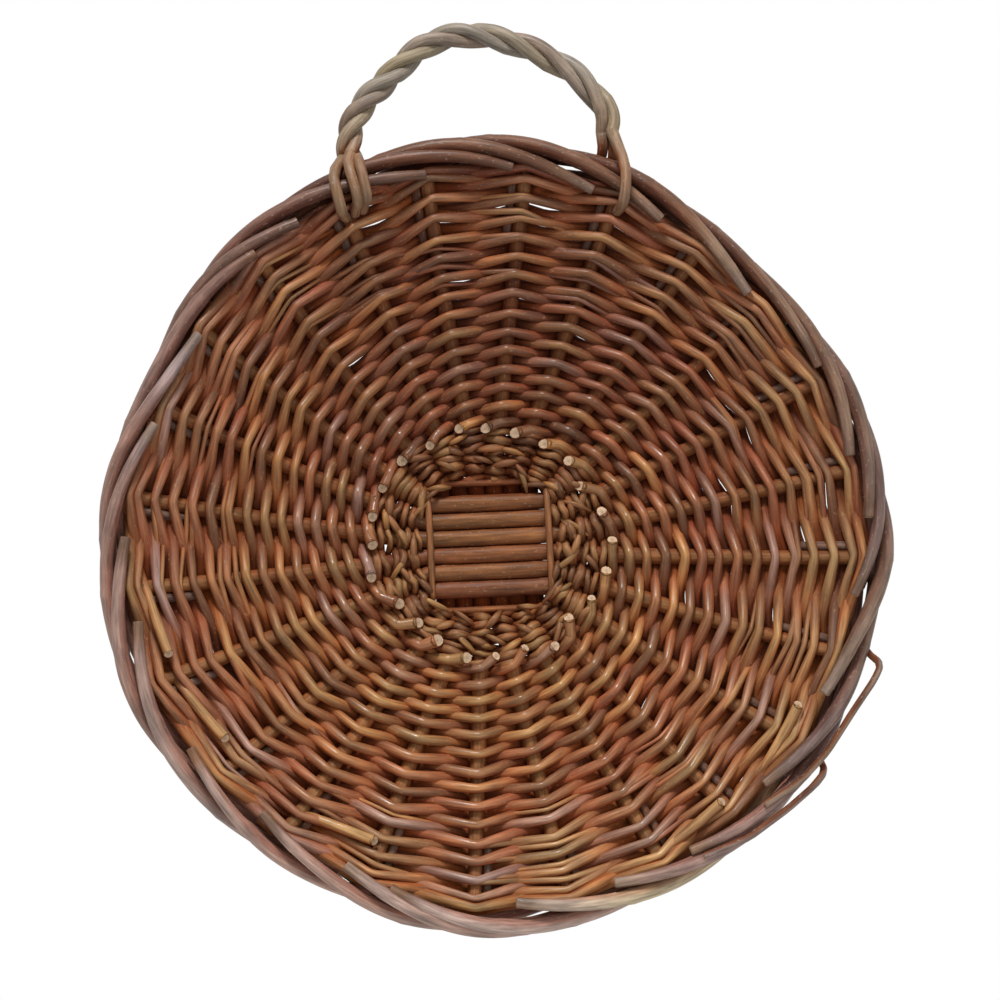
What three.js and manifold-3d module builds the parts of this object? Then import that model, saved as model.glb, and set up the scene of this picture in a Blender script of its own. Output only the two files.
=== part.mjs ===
// A round, dished willow basket that hangs on a wall by a twisted handle at its top edge.
// Millimetres, +Z up. The hollow faces -Y, and the wall is behind the basket, at +Y.
// The origin is under the handle, where a hook carries the basket.
import * as THREE from 'three';
import { mergeVertices } from 'three/addons/utils/BufferGeometryUtils.js';
import Module from 'manifold-3d';

const wasm = await Module();
wasm.setup();

// The dish
const RIM_RADIUS = 185.5; // from the axis of the dish to the core of the border
const DISH_DEPTH = 42; // from the middle of the dish forward to the core of the border
const CLEARANCE = 0.35; // between rods that lie against each other
const BASE_TURN = THREE.MathUtils.degToRad(-3); // the base sits a little anticlockwise

// The base sticks
const STICKS_EACH_WAY = 6;
const STICK_MIDDLE_DIAMETER = 8.2;
const STICK_ARM_DIAMETER = 6.4;
const STICK_TIP_DIAMETER = 5.2;
const STICK_GAP = 0.4; // between sticks that lie side by side
const FAN_LENGTH = 18; // over which the sticks spread from side by side to spokes
const SPOKE_END_ROOM = 1.5; // from the tip of a spoke to the core of the border

// The ties around the crossing and the pairing around them
const TIE_DIAMETER = 1.8;
const TIE_REACH = 5.8; // from the crossing out to the first tie
const PAIRING_DIAMETER = 2.2;
const PAIRING_GAP = 0.45; // between one strand of the pairing and the next

// The weavers, one for each spoke
const WEAVE_START = 65.5;
const WEAVER_BUTT_DIAMETER = 4.9;
const WEAVER_TIP_DIAMETER = 3.8;
const WEAVE_GAP = 0.4; // between one weaver and the next where they cross
const WEAVER_TAIL = 4; // how far a cut end stands past its spoke
const BORDER_GAP = 5.8; // at least, from the last stroke of a weaver to the core of the border

// The border stakes, one for each spoke
const BORDER_DIAMETER = 7.8;
const STAKE_LEG_DIAMETER = 5;
const STAKE_LEG_LENGTH = 44; // of each stake beside its spoke
const STAKE_BEND = 10.7; // from the end of that leg to the core of the border
const STROKE_SPACES = 3; // spokes that each stake passes along the border
const ROLL_LEAD = 4.5; // along the rim, from the leg of a stake to the start of its roll
const ELBOW_SHARE = 0.85; // of the way back to the roll that a stake's elbow reaches
const TIP_PRESS = 1; // how far the cut end of a stake is pressed into its neighbour
const TIP_ROLL = THREE.MathUtils.degToRad(60); // from the outside of the border to that place

// The handle
const HANDLE_RODS = 3;
const HANDLE_ROD_DIAMETER = 5.3;
const HANDLE_TAIL_DIAMETER = 4.6;
const TIGHT_LAY = 38; // length of one turn of the twist at the left
const LONG_LAY = 80; // length of one turn of the twist at the right
const FIRST_PHASE = -1 / 12; // of a turn, which starts the second rod in front of the others at the left
const LAST_TURN = 0.28; // of a turn, which brings the first rod to the front at the right
const HANDLE_LINE = [ // across, and above the top of the border
  [-75, 6], [-74, 14], [-66, 22], [-57, 30], [-47, 41], [-35, 51], [-17, 55],
  [0, 53], [14, 49], [28, 43], [41, 35], [51, 24], [56.5, 14], [56.5, 6],
];
const HOOK_ACROSS = 0; // where the handle's line rests on the hook
// Where each rod's foot crosses the border and ends on the weave, in degrees from the top
const LEFT_FEET = [[-25, -27.4], [-22.8, -25.2], [-20.6, -22.9]];
const RIGHT_FEET = [[19, 20.6], [15.2, 15.4], [17.6, 18]];
const RIGHT_SIDES = [1, -1, -1]; // in front of the border or behind it

// The bark
const STICK_COLOUR = 0x8a5a36;
const BINDING_COLOUR = 0x6f4427;
const WEAVER_COLOUR = 0x9a5c33;
const BORDER_COLOUR = 0x6e5348;
const HANDLE_COLOUR = 0x7d6a52;
const BARK_ROUGHNESS = 0.5;

const SPOKES = 4 * STICKS_EACH_WAY;
const SPOKE_STEP = (2 * Math.PI) / SPOKES;
const BALL_RADIUS = (RIM_RADIUS ** 2 + DISH_DEPTH ** 2) / (2 * DISH_DEPTH);
const BALL_CENTRE = new THREE.Vector3(0, DISH_DEPTH - BALL_RADIUS, 0);
const TOWARDS_VIEWER = new THREE.Vector3(0, -1, 0);
const SQUARE_SIDES = 4;
const ROUND_SIDES = 6;
const STICK_SIDES = 8;
const STICK_CORNER = 1 / Math.cos(Math.PI / STICK_SIDES); // the sticks' flats lie at their diameter

// A four-sided rod of the same area as a round one of diameter 1
const SQUARE_HALF_SIDE = Math.sqrt(Math.PI) / 4;
const SQUARE_CORNER = SQUARE_HALF_SIDE * Math.SQRT2;

// A place on the dish: angle clockwise from the top, distance from the axis, lift towards the viewer
function onDish(angle, distance, lift) {
  const lean = Math.asin(distance / BALL_RADIUS);
  const reach = BALL_RADIUS - lift;
  const turned = angle + BASE_TURN;
  return new THREE.Vector3(
    reach * Math.sin(lean) * Math.sin(turned),
    BALL_CENTRE.y + reach * Math.cos(lean),
    reach * Math.sin(lean) * Math.cos(turned),
  );
}

// The same place by its offsets across and up, for the flat middle of the dish
function onMiddle(across, up, lift) {
  const place = onDish(Math.atan2(across, up), Math.hypot(across, up), 0);
  place.y = DISH_DEPTH - lift;
  return place;
}

function outOfDish(place) {
  return BALL_CENTRE.clone().sub(place).normalize();
}

// The direction of a path at each of its points
function headings(points) {
  return points.map((point, i) => {
    const before = points[Math.max(i - 1, 0)];
    const after = points[Math.min(i + 1, points.length - 1)];
    const arriving = point.clone().sub(before).normalize();
    const leaving = after.clone().sub(point).normalize();
    return arriving.add(leaving).normalize();
  });
}

// Facing directions carried along a path with no twist
function carriedFacings(points, first) {
  let facing = first;
  return headings(points).map((heading) => {
    facing = facing.clone().addScaledVector(heading, -facing.dot(heading)).normalize();
    return facing;
  });
}

// A cylinder bent along a path, with a radius and a facing direction for each point
function bentRod(points, radii, facings, sides) {
  const steps = points.length - 1;
  const firstCorner = sides % 4 === 0 ? Math.PI / sides : 0;
  const geometry = new THREE.CylinderGeometry(1, 1, 1, sides, steps, false, firstCorner);
  const along = headings(points);
  const vertices = geometry.attributes.position;
  for (let i = 0; i < vertices.count; i += 1) {
    const ring = Math.round((vertices.getY(i) + 0.5) * steps);
    const heading = along[ring];
    const front = facings[ring].clone().addScaledVector(heading, -facings[ring].dot(heading)).normalize();
    const side = front.clone().cross(heading);
    const place = points[ring].clone();
    place.addScaledVector(front, vertices.getX(i) * radii[ring]);
    place.addScaledVector(side, vertices.getZ(i) * radii[ring]);
    vertices.setXYZ(i, place.x, place.y, place.z);
  }
  geometry.deleteAttribute('normal');
  geometry.deleteAttribute('uv');
  return mergeVertices(geometry);
}

function solidOf(geometry) {
  return new wasm.Manifold(new wasm.Mesh({
    numProp: 3,
    vertProperties: new Float32Array(geometry.attributes.position.array),
    triVerts: new Uint32Array(geometry.index.array),
  }));
}

function joined(first, second) {
  const mesh = solidOf(first).add(solidOf(second)).getMesh();
  const geometry = new THREE.BufferGeometry();
  geometry.setAttribute('position', new THREE.BufferAttribute(mesh.vertProperties, 3));
  geometry.setIndex(new THREE.BufferAttribute(mesh.triVerts, 1));
  return geometry;
}

const basket = new THREE.Group();

function addPiece(name, geometry, colour) {
  geometry.computeVertexNormals();
  const material = new THREE.MeshStandardMaterial({ color: colour, roughness: BARK_ROUGHNESS });
  const piece = new THREE.Mesh(geometry, material);
  piece.name = name;
  basket.add(piece);
}

// Base sticks: six across in front and six upright behind, straight at the crossing, then spokes
const STICK_PITCH = STICK_MIDDLE_DIAMETER + STICK_GAP;
const OUTER_ORDER = (STICKS_EACH_WAY - 1) / 2;
const OUTER_RAY = OUTER_ORDER * SPOKE_STEP;
const CROSSING_HALF = OUTER_ORDER * STICK_PITCH + STICK_MIDDLE_DIAMETER / 2 + CLEARANCE;
const CROSSING_LIFT = (STICK_MIDDLE_DIAMETER + CLEARANCE) / 2;
const FLAT_HALF = CROSSING_HALF - STICK_MIDDLE_DIAMETER / 2;
const FAN_END = CROSSING_HALF + FAN_LENGTH;
const SPOKE_END = RIM_RADIUS - SPOKE_END_ROOM;
const ARM_STEPS = 6;

// Half the thickness of a spoke at a distance from the axis
function spokeRadius(distance) {
  const share = (distance - FAN_END) / (SPOKE_END - FAN_END);
  return THREE.MathUtils.lerp(STICK_ARM_DIAMETER, STICK_TIP_DIAMETER, Math.max(share, 0)) / 2;
}

function addBaseStick(name, index, quarterTurn, layer) {
  const order = index - OUTER_ORDER;
  const offset = order * STICK_PITCH;
  const points = [];
  const radii = [];
  for (const end of [-1, 1]) {
    const arm = [];
    const armRadii = [];
    for (const up of [FLAT_HALF, CROSSING_HALF]) {
      const place = [offset, end * up];
      const [across, height] = quarterTurn ? [place[1], -place[0]] : place;
      arm.push(onMiddle(across, height, layer * CROSSING_LIFT));
      armRadii.push(STICK_MIDDLE_DIAMETER / 2);
    }
    const ray = end > 0 ? order * SPOKE_STEP : Math.PI - order * SPOKE_STEP;
    const angle = ray + (quarterTurn ? Math.PI / 2 : 0);
    for (let step = 0; step <= ARM_STEPS; step += 1) {
      const distance = THREE.MathUtils.lerp(FAN_END, SPOKE_END, step / ARM_STEPS);
      arm.push(onDish(angle, distance, 0));
      armRadii.push(spokeRadius(distance));
    }
    if (end < 0) {
      arm.reverse();
      armRadii.reverse();
    }
    points.push(...arm);
    radii.push(...armRadii);
  }
  const facings = points.map(() => TOWARDS_VIEWER);
  const corners = radii.map((radius) => radius * STICK_CORNER);
  addPiece(name, bentRod(points, corners, facings, STICK_SIDES), STICK_COLOUR);
}

for (let index = 0; index < STICKS_EACH_WAY; index += 1) {
  addBaseStick(`base_stick_across_${index + 1}`, index, true, 1);
  addBaseStick(`base_stick_upright_${index + 1}`, index, false, -1);
}

// Ties: each rod goes once round the crossing, over two of its arms and behind the other two
function addTie(name, reach, overUprights) {
  const fanShare = (reach - CROSSING_HALF) / FAN_LENGTH;
  const fanRise = DISH_DEPTH - onDish(0, FAN_END, 0).y;
  const stickRadius = THREE.MathUtils.lerp(STICK_MIDDLE_DIAMETER, STICK_ARM_DIAMETER, fanShare) / 2;
  const proud = stickRadius * STICK_CORNER + CLEARANCE + TIE_DIAMETER / 2;
  const frontLift = THREE.MathUtils.lerp(CROSSING_LIFT, fanRise, fanShare) + proud;
  const backLift = THREE.MathUtils.lerp(-CROSSING_LIFT, fanRise, fanShare) - proud;
  const outerShare = (reach - CROSSING_HALF) / (FAN_END * Math.cos(OUTER_RAY) - CROSSING_HALF);
  const fanWidth = FAN_END * Math.sin(OUTER_RAY);
  const outerStick = THREE.MathUtils.lerp(OUTER_ORDER * STICK_PITCH, fanWidth, outerShare);
  const run = outerStick + stickRadius;
  const points = [];
  for (let side = 0; side <= 4; side += 1) {
    const angle = (side * Math.PI) / 2;
    const height = (side % 2 === 0) === overUprights ? frontLift : backLift;
    const add = (across, share) => {
      const [cos, sin] = [Math.cos(angle), Math.sin(angle)];
      points.push(onMiddle(across * cos + reach * sin, reach * cos - across * sin, height * share));
    };
    if (side > 0) {
      add(-reach, 0.5);
      add(-run, 1);
      add(-TIE_DIAMETER, 1);
    }
    if (side < 4) {
      add(TIE_DIAMETER, 1);
      add(run, 1);
      add(reach, 0.5);
    }
  }
  const radii = points.map(() => TIE_DIAMETER * SQUARE_CORNER);
  const facings = carriedFacings(points, TOWARDS_VIEWER);
  addPiece(name, bentRod(points, radii, facings, SQUARE_SIDES), BINDING_COLOUR);
}

const INNER_TIE_REACH = CROSSING_HALF + TIE_REACH;
const OUTER_TIE_REACH = INNER_TIE_REACH + TIE_DIAMETER + 2 * CLEARANCE;
addTie('slath_tie_inner', INNER_TIE_REACH, false);
addTie('slath_tie_outer', OUTER_TIE_REACH, true);

// A strand that goes in front of one spoke and behind the next, and outwards as it goes
function wovenRod(firstSpoke, firstSide, strokes, distanceAt, diameterAt, tail) {
  const points = [];
  const radii = [];
  for (let stroke = 0; stroke <= strokes; stroke += 1) {
    const distance = distanceAt(stroke);
    const diameter = diameterAt(stroke);
    const half = diameter * SQUARE_HALF_SIDE;
    const room = spokeRadius(distance) * STICK_CORNER + half + CLEARANCE;
    const space = distance * SPOKE_STEP;
    const crest = (space - Math.sqrt(space ** 2 - 4 * room ** 2)) / 2;
    const besideLeg = distance > LEG_START - diameter ? LEG_OFFSET : 0;
    const lift = firstSide * (stroke % 2 === 0 ? room : -room);
    const before = crest + besideLeg + (stroke === 0 ? tail : 0);
    const after = crest + (stroke === strokes ? tail : 0);
    const rise = (distanceAt(stroke + 0.5) - distanceAt(stroke - 0.5)) / space;
    for (const aside of [-before, after]) {
      const angle = (firstSpoke + stroke + 0.5) * SPOKE_STEP + aside / distance;
      points.push(onDish(angle, distance + rise * aside, lift));
      radii.push(diameter * SQUARE_CORNER);
    }
  }
  return bentRod(points, radii, points.map(outOfDish), SQUARE_SIDES);
}

const LEG_OFFSET = (STICK_ARM_DIAMETER * STICK_CORNER + STAKE_LEG_DIAMETER) / 2 + CLEARANCE;
const LEG_END = RIM_RADIUS - STAKE_BEND;
const LEG_START = LEG_END - STAKE_LEG_LENGTH;

// Pairing: two thin strands that wind outwards together, a half row apart
const PAIRING_PITCH = 2 * (PAIRING_DIAMETER * SQUARE_HALF_SIDE * 2 + PAIRING_GAP);
const PAIRING_START = OUTER_TIE_REACH * Math.SQRT2 + TIE_DIAMETER + CLEARANCE;
const PAIRING_END = WEAVE_START - WEAVER_BUTT_DIAMETER - PAIRING_DIAMETER;
const PAIRING_STROKES = Math.floor(SPOKES * ((PAIRING_END - PAIRING_START) / PAIRING_PITCH - 0.5));
for (const strand of [0, 1]) {
  const distanceAt = (stroke) => PAIRING_START + PAIRING_PITCH * (strand / 2 + stroke / SPOKES);
  const geometry = wovenRod(0, strand === 0 ? 1 : -1, PAIRING_STROKES, distanceAt, () => PAIRING_DIAMETER, 0);
  addPiece(`pairing_weaver_${strand + 1}`, geometry, BINDING_COLOUR);
}

// Weavers: each starts with its butt in front of its own spoke and climbs one rod at every spoke
const MEAN_CLIMB = (WEAVER_BUTT_DIAMETER + WEAVER_TIP_DIAMETER) / 2 + WEAVE_GAP;
const STROKE_PAIRS = Math.floor((RIM_RADIUS - BORDER_GAP - WEAVE_START) / (2 * MEAN_CLIMB));
const WEAVE_STROKES = 2 * STROKE_PAIRS; // even, so that the last stroke lies in front

function weaverDiameter(stroke) {
  return THREE.MathUtils.lerp(WEAVER_BUTT_DIAMETER, WEAVER_TIP_DIAMETER, stroke / WEAVE_STROKES);
}

function weaverDistance(stroke) {
  const meanDiameter = (WEAVER_BUTT_DIAMETER + weaverDiameter(stroke)) / 2;
  return WEAVE_START + stroke * (meanDiameter + WEAVE_GAP);
}

for (let weaver = 0; weaver < SPOKES; weaver += 1) {
  const geometry = wovenRod(weaver, 1, WEAVE_STROKES, weaverDistance, weaverDiameter, WEAVER_TAIL);
  addPiece(`rand_weaver_${String(weaver + 1).padStart(2, '0')}`, geometry, WEAVER_COLOUR);
}

// Border: each stake rises beside its spoke, turns behind the rim and rolls over it to the front
const ROLL_RADIUS = BORDER_DIAMETER + CLEARANCE;
const ROLL_STEPS = 6;

function borderStake(spoke, meetsNext) {
  const spokeAngle = (spoke + 0.5) * SPOKE_STEP;
  const legAngle = (distance) => spokeAngle - LEG_OFFSET / distance;
  const legRadius = STAKE_LEG_DIAMETER / 2;
  const points = [];
  const radii = [];
  const add = (angle, distance, lift, radius) => {
    points.push(onDish(angle, distance, lift));
    radii.push(radius);
  };
  add(legAngle(LEG_START), LEG_START, 0, legRadius);
  add(legAngle(LEG_END), LEG_END + WEAVER_TIP_DIAMETER / 2, 0, legRadius);
  add(legAngle(RIM_RADIUS), RIM_RADIUS - legRadius, -ELBOW_SHARE * ROLL_RADIUS, legRadius);
  const rollStart = legAngle(RIM_RADIUS) + ROLL_LEAD / RIM_RADIUS;
  const sweep = STROKE_SPACES * SPOKE_STEP;
  for (let step = 0; step <= ROLL_STEPS; step += 1) {
    const share = step / ROLL_STEPS;
    const roll = Math.PI * (share - 0.5);
    const distance = RIM_RADIUS + ROLL_RADIUS * Math.cos(roll);
    const radius = step === 0 ? legRadius : BORDER_DIAMETER / 2;
    add(rollStart + share * sweep, distance, ROLL_RADIUS * Math.sin(roll), radius);
  }
  if (meetsNext) {
    const past = rollStart + sweep + BORDER_DIAMETER / RIM_RADIUS;
    const reach = ROLL_RADIUS - TIP_PRESS;
    const distance = RIM_RADIUS + reach * Math.cos(TIP_ROLL);
    add(past, distance, reach * Math.sin(TIP_ROLL), BORDER_DIAMETER / 2);
  }
  return bentRod(points, radii, points.map(outOfDish), ROUND_SIDES);
}

// Two neighbours share a node, pressed together where the cut end of the first lies on the second
for (let spoke = 0; spoke < SPOKES; spoke += 2) {
  const pair = joined(borderStake(spoke, true), borderStake(spoke + 1, false));
  addPiece(`border_stakes_${spoke + 1}_${spoke + 2}`, pair, BORDER_COLOUR);
}

// Handle: rods twisted together, with their feet over and behind the border
const TWIST_ROOM = 2 * CLEARANCE; // because the slant of the rods brings them closer
const TWIST_RADIUS = (HANDLE_ROD_DIAMETER / 2 + TWIST_ROOM) / Math.sin(Math.PI / HANDLE_RODS);
const TWIST_STEPS = 8; // for each turn
const BORDER_TOP = RIM_RADIUS + ROLL_RADIUS + BORDER_DIAMETER / 2;
const handleLine = new THREE.CatmullRomCurve3(
  HANDLE_LINE.map(([across, above]) => new THREE.Vector3(across, 0, BORDER_TOP + above)),
);

// Twist turns counted from the left foot, and the share of the line where each turn is reached
const HANDLE_LENGTH = handleLine.getLength();
const LAY_GROWTH = (LONG_LAY - TIGHT_LAY) / HANDLE_LENGTH;
const NATURAL_TURNS = Math.log(LONG_LAY / TIGHT_LAY) / LAY_GROWTH;
const TWIST_TURNS = Math.round(NATURAL_TURNS) + LAST_TURN;

function lineShareAt(turns) {
  const natural = (turns * NATURAL_TURNS) / TWIST_TURNS;
  return (TIGHT_LAY * (Math.exp(natural * LAY_GROWTH) - 1)) / (LAY_GROWTH * HANDLE_LENGTH);
}

function twistPoint(turns, strand) {
  const share = Math.min(lineShareAt(turns), 1);
  const phase = 2 * Math.PI * (FIRST_PHASE + turns + strand / HANDLE_RODS);
  const heading = handleLine.getTangentAt(share);
  const outward = new THREE.Vector3(-heading.z, 0, heading.x);
  return handleLine.getPointAt(share)
    .addScaledVector(outward, TWIST_RADIUS * Math.cos(phase))
    .addScaledVector(TOWARDS_VIEWER, TWIST_RADIUS * Math.sin(phase));
}

// A foot from the weave up to the handle, in front of the border or behind it
function footPoints([borderAngle, weaveAngle], side) {
  const tailRadius = HANDLE_TAIL_DIAMETER / 2;
  const proud = ROLL_RADIUS + BORDER_DIAMETER / 2 + CLEARANCE + tailRadius;
  const onWeave = spokeRadius(LEG_END) + WEAVER_TIP_DIAMETER + 2 * CLEARANCE + tailRadius;
  const places = [
    [LEG_END - HANDLE_TAIL_DIAMETER, onWeave],
    [LEG_END + tailRadius, onWeave + tailRadius],
    [RIM_RADIUS - tailRadius, proud],
    [RIM_RADIUS + ROLL_RADIUS / 2, proud],
    [BORDER_TOP + tailRadius, ROLL_RADIUS],
  ];
  return places.map(([distance, lift], i) => {
    const degrees = THREE.MathUtils.lerp(weaveAngle, borderAngle, i / (places.length - 1));
    return onDish(THREE.MathUtils.degToRad(degrees) - BASE_TURN, distance, side * lift);
  });
}

function addHandleRod(name, strand) {
  const points = footPoints(LEFT_FEET[strand], 1);
  const footCount = points.length;
  const twistCount = Math.round(TWIST_TURNS * TWIST_STEPS);
  for (let step = 0; step <= twistCount; step += 1) {
    points.push(twistPoint((step / twistCount) * TWIST_TURNS, strand));
  }
  points.push(...footPoints(RIGHT_FEET[strand], RIGHT_SIDES[strand]).reverse());
  const radii = points.map((point, i) => {
    const inFoot = i < footCount || i >= points.length - footCount;
    return (inFoot ? HANDLE_TAIL_DIAMETER : HANDLE_ROD_DIAMETER) / 2;
  });
  const facings = carriedFacings(points, new THREE.Vector3(1, 0, 0));
  addPiece(name, bentRod(points, radii, facings, ROUND_SIDES), HANDLE_COLOUR);
}

for (let strand = 0; strand < HANDLE_RODS; strand += 1) {
  addHandleRod(`handle_rod_${strand + 1}`, strand);
}

// The origin lies under the handle
const [hookAcross, hookAbove] = HANDLE_LINE.find(([across]) => across === HOOK_ACROSS);
basket.position.set(-hookAcross, 0, -(BORDER_TOP + hookAbove - TWIST_RADIUS - HANDLE_ROD_DIAMETER / 2));

export default basket;
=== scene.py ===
import math
import random

import bmesh
import bpy
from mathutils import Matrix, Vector, noise


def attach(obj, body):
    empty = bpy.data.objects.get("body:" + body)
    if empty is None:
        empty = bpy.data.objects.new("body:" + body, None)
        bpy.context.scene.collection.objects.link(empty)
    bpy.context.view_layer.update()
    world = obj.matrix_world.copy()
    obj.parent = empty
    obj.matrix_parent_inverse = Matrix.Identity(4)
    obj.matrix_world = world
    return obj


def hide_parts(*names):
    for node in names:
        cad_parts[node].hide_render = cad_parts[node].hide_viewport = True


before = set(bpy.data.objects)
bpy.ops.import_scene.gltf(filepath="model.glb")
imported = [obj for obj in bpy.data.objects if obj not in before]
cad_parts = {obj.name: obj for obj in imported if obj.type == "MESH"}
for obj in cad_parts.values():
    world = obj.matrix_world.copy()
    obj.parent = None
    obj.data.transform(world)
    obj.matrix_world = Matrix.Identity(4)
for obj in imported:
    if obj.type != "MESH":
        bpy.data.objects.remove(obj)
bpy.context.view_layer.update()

# Lengths are in metres where nothing else is said. A RANGE is the least and the most that chance gives

# The dish
RIM_RADIUS = 0.1855
DISH_DEPTH = 0.042
DISH_MIDDLE_Z = -0.24403
BASE_TURN = math.radians(-3)
BALL_RADIUS = (RIM_RADIUS ** 2 + DISH_DEPTH ** 2) / (2 * DISH_DEPTH)

# The basket is woven by hand: its base lies off the middle, across and up, and its rim is out of round
BASE_SHIFT = (-0.0016, -0.0048)
RIM_SWELLS = [  # degrees from the top, how many degrees wide, and the share of the radius
    (-4, 14, 0.014), (45, 19, -0.036), (91, 8, 0.009), (108, 8, -0.011),
    (184, 14, 0.014), (207, 8, -0.004), (245, 14, 0.014), (294, 14, -0.034),
]

# The base sticks
STICKS_EACH_WAY = 6
STICK_RADIUS = 0.0044
UPRIGHT_RADIUS = 0.00485
ARM_RADIUS = 0.0043
TIP_RADIUS = 0.0036
ACROSS_PITCH = 0.0088
UPRIGHT_PITCH = 0.0092
CROSSING_HALF = 0.0325
CROSSING_STOPS = (0.5, 0.85, 1)  # shares of that half
CROSSING_LIFT = 0.00428
FAN_END = 0.052
THINNING_REACH = 0.04  # from the end of the fan on, until a stick is as thin as its arm
JITTER_REACH = 0.05  # and until the arm is fully off its even place
JITTER_RANGE = (-1.1, 1.1)  # degrees
SPOKE_END = 0.184
ARM_STEPS = 8
SPOKES = 4 * STICKS_EACH_WAY
SPOKE_STEP = 2 * math.pi / SPOKES

# The ties and the pairing round the crossing
TIE_RADIUS = 0.0017
TIE_WIDTH_RANGE = (0.92, 1.08)
TIE_REACH = 0.0306
TIE_SPACE = 0.002
TIE_STOPS = [(-1, 0.3), (-0.8, 1), (0, 1.04), (0.8, 1), (1, 0.3)]  # along one side and lift, as shares
PAIRING_RADIUS = 0.002
PAIRING_WIDTH_RANGE = (0.65, 1.35)
PAIRING_ROOM_RANGE = (0.6, 1.4)
PAIRING_DRIFT_RANGE = (-0.0009, 0.0009)
PAIRING_SLANT_RANGE = (-0.0016, 0.0016)
PAIRING_TILT = 6  # slants in or out for each space along
PAIRING_CREST = 0.16  # a share of the space between two spokes
PAIRING_ROWS = 5.8
PAIRING_START = 0.0342
PAIRING_CORNER = 1.17  # how much further out it starts at the corners, at most
PAIRING_END = 0.065

# The tips tucked into the pairing: loose ones, and rings of them that fill its gaps
TUCKED_TIPS = 48
TUCKED_DISTANCE_RANGE = (0.037, 0.0585)
TUCKED_SLANT_RANGE = (-0.9, 0.9)
TUCKED_HALF_RANGE = (0.005, 0.0085)
TUCKED_RADIUS_RANGE = (0.0013, 0.0021)
TUCKED_LIFT = 1.6  # in radii of the pairing
TIP_RINGS = [(16, 0), (20, 0.33), (24, 0.66), (24, 0.86), (24, 1)]  # how many, and how far out
RING_SLANT_RANGE = (-0.12, 0.12)
RING_HALF = 0.0095
RING_RADIUS = 0.0022
RING_OUTWARD = 0.0008
RING_LIFT = -0.35  # a share of the lift of the sticks
TIP_STOPS = [(-1, 0.0042, 0.6), (-0.4, 0.0005, 1), (0.3, 0, 1), (1, 0.0036, 0.4)]  # along, drop and width

# The weavers
WEAVE_START = 0.0632
WEAVE_STROKES = 29
PACKED_STROKE = 26  # from here on the strokes are beaten down under the border
WEAVE_CLIMB = 0.0045
PACKED_CLIMB = 0.002
FRONT_RADII = (0.0026, 0.0021)  # at the butt and at the tip
BACK_RADII = (0.0031, 0.0038)
WEAVER_SIZE_RANGE = (0.93, 1.06)
STROKE_WIDTH_RANGE = (0.9, 1.08)
STROKE_DISTANCE_RANGE = (-0.0005, 0.0005)
STROKE_LIFT_RANGE = (0.94, 1.08)
PRESSED_SPOKE = 0.94  # what is left of the two radii where a weaver presses on a spoke
PRESSED_WEAVER = 0.92
WEAVE_DRIFT = 0.0014
DRIFT_PACE = 38  # a PACE is how many waves of noise a metre has
DRIFT_REACH = 0.05
BACK_INWARD = 0.67
BACK_SWING = 0.25
WEAVE_SAG = 0.065  # these three are shares of the space between two spokes
SAG_PLACE = 0.3
CREST_SHARE = 0.05
CREST_LIMITS = (0.0007, 0.0012)
SAG_GROWTH = 4  # times as fast as the way out, until the sag is whole
ELBOW_REACH = 0.0017
BUTT_LENGTH_RANGE = (0.005, 0.009)
BUTT_INWARD_RANGE = (-0.001, 0.008)
BUTT_RISE_RANGE = (0.15, 0.5)
BUTT_WIDTH_RANGE = (1.05, 1.25)
BUTT_CUT_RANGE = (0.7, 1.3)

# The thin weavers, placed by spokes and rows
THIN_WEAVERS = 88
THIN_FIRST_SPOKE = 3
THIN_STRIDE = 7
THIN_ROWS = (15, 26)
THIN_ROW_RANGE = (0.2, 0.9)
THIN_RADIUS_RANGE = (0.0012, 0.0019)
THIN_WIDTHS = (1.1, 0.7)  # at its two ends
THIN_TILT_RANGE = (-0.0035, 0.0035)
THIN_SAG_RANGE = (0.7, 1.6)
THIN_SAG_PLACE = 0.75
THIN_END = 1.15
THIN_STOPS = [  # spaces along, and lift as a share
    (-THIN_END, -0.9), (-THIN_SAG_PLACE, -0.25), (-0.03, 1),
    (0.03, 1), (THIN_SAG_PLACE, -0.25), (THIN_END, -0.9),
]

# The border
BORDER_RADIUS = 0.0041
STAKE_SIZE_RANGE = (0.9, 1.06)
STAKE_PROUD_RANGE = (0, 0.001)
PROUD_RISE = 0.05  # these three are shares of the roll
PROUD_HOLD = 0.06
PROUD_FADE = 0.36
LEG_RADIUS = 0.0023
LEG_START = 0.152
LEG_MIDDLE = 0.16
LEG_END = 0.1748
LEG_TOP = LEG_END + 0.002
LEG_TURN = LEG_END + 0.004
LEG_TURN_DEPTH = 0.7  # in radii of the roll
LEG_OFFSET = 0.006
STAKE_LEAD = 0.0045
ROLL_RADIUS = 0.00815
FIRST_ROLL = -140  # degrees round the rim, from its outer side to the viewer
LAST_ROLL_RANGE = (70, 94)
TOP_ROLL = 22
ROLL_SPACES = 3.5
ROLL_SPACES_RANGE = (-0.15, 0.5)
ROLL_STEPS = 24
THICKENING = 14  # times as fast as the roll, until a stake has its full thickness
TAPER_START = 0.6
TAPER = 0.64
LOOSE_RADIUS = 0.0018
LOOSE_BEND = 0.0025

# The handle
BORDER_TOP = 0.19755
HANDLE_RODS = 3
HANDLE_RADIUS = 0.0033
TAIL_RADIUS = 0.0028
TWIST_RADIUS = 0.0035
TIGHT_LAY = 0.038
LONG_LAY = 0.08
FIRST_PHASE = -1 / 12
HANDLE_TURNS = 3.28
MILLIMETRE = 0.001

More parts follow.
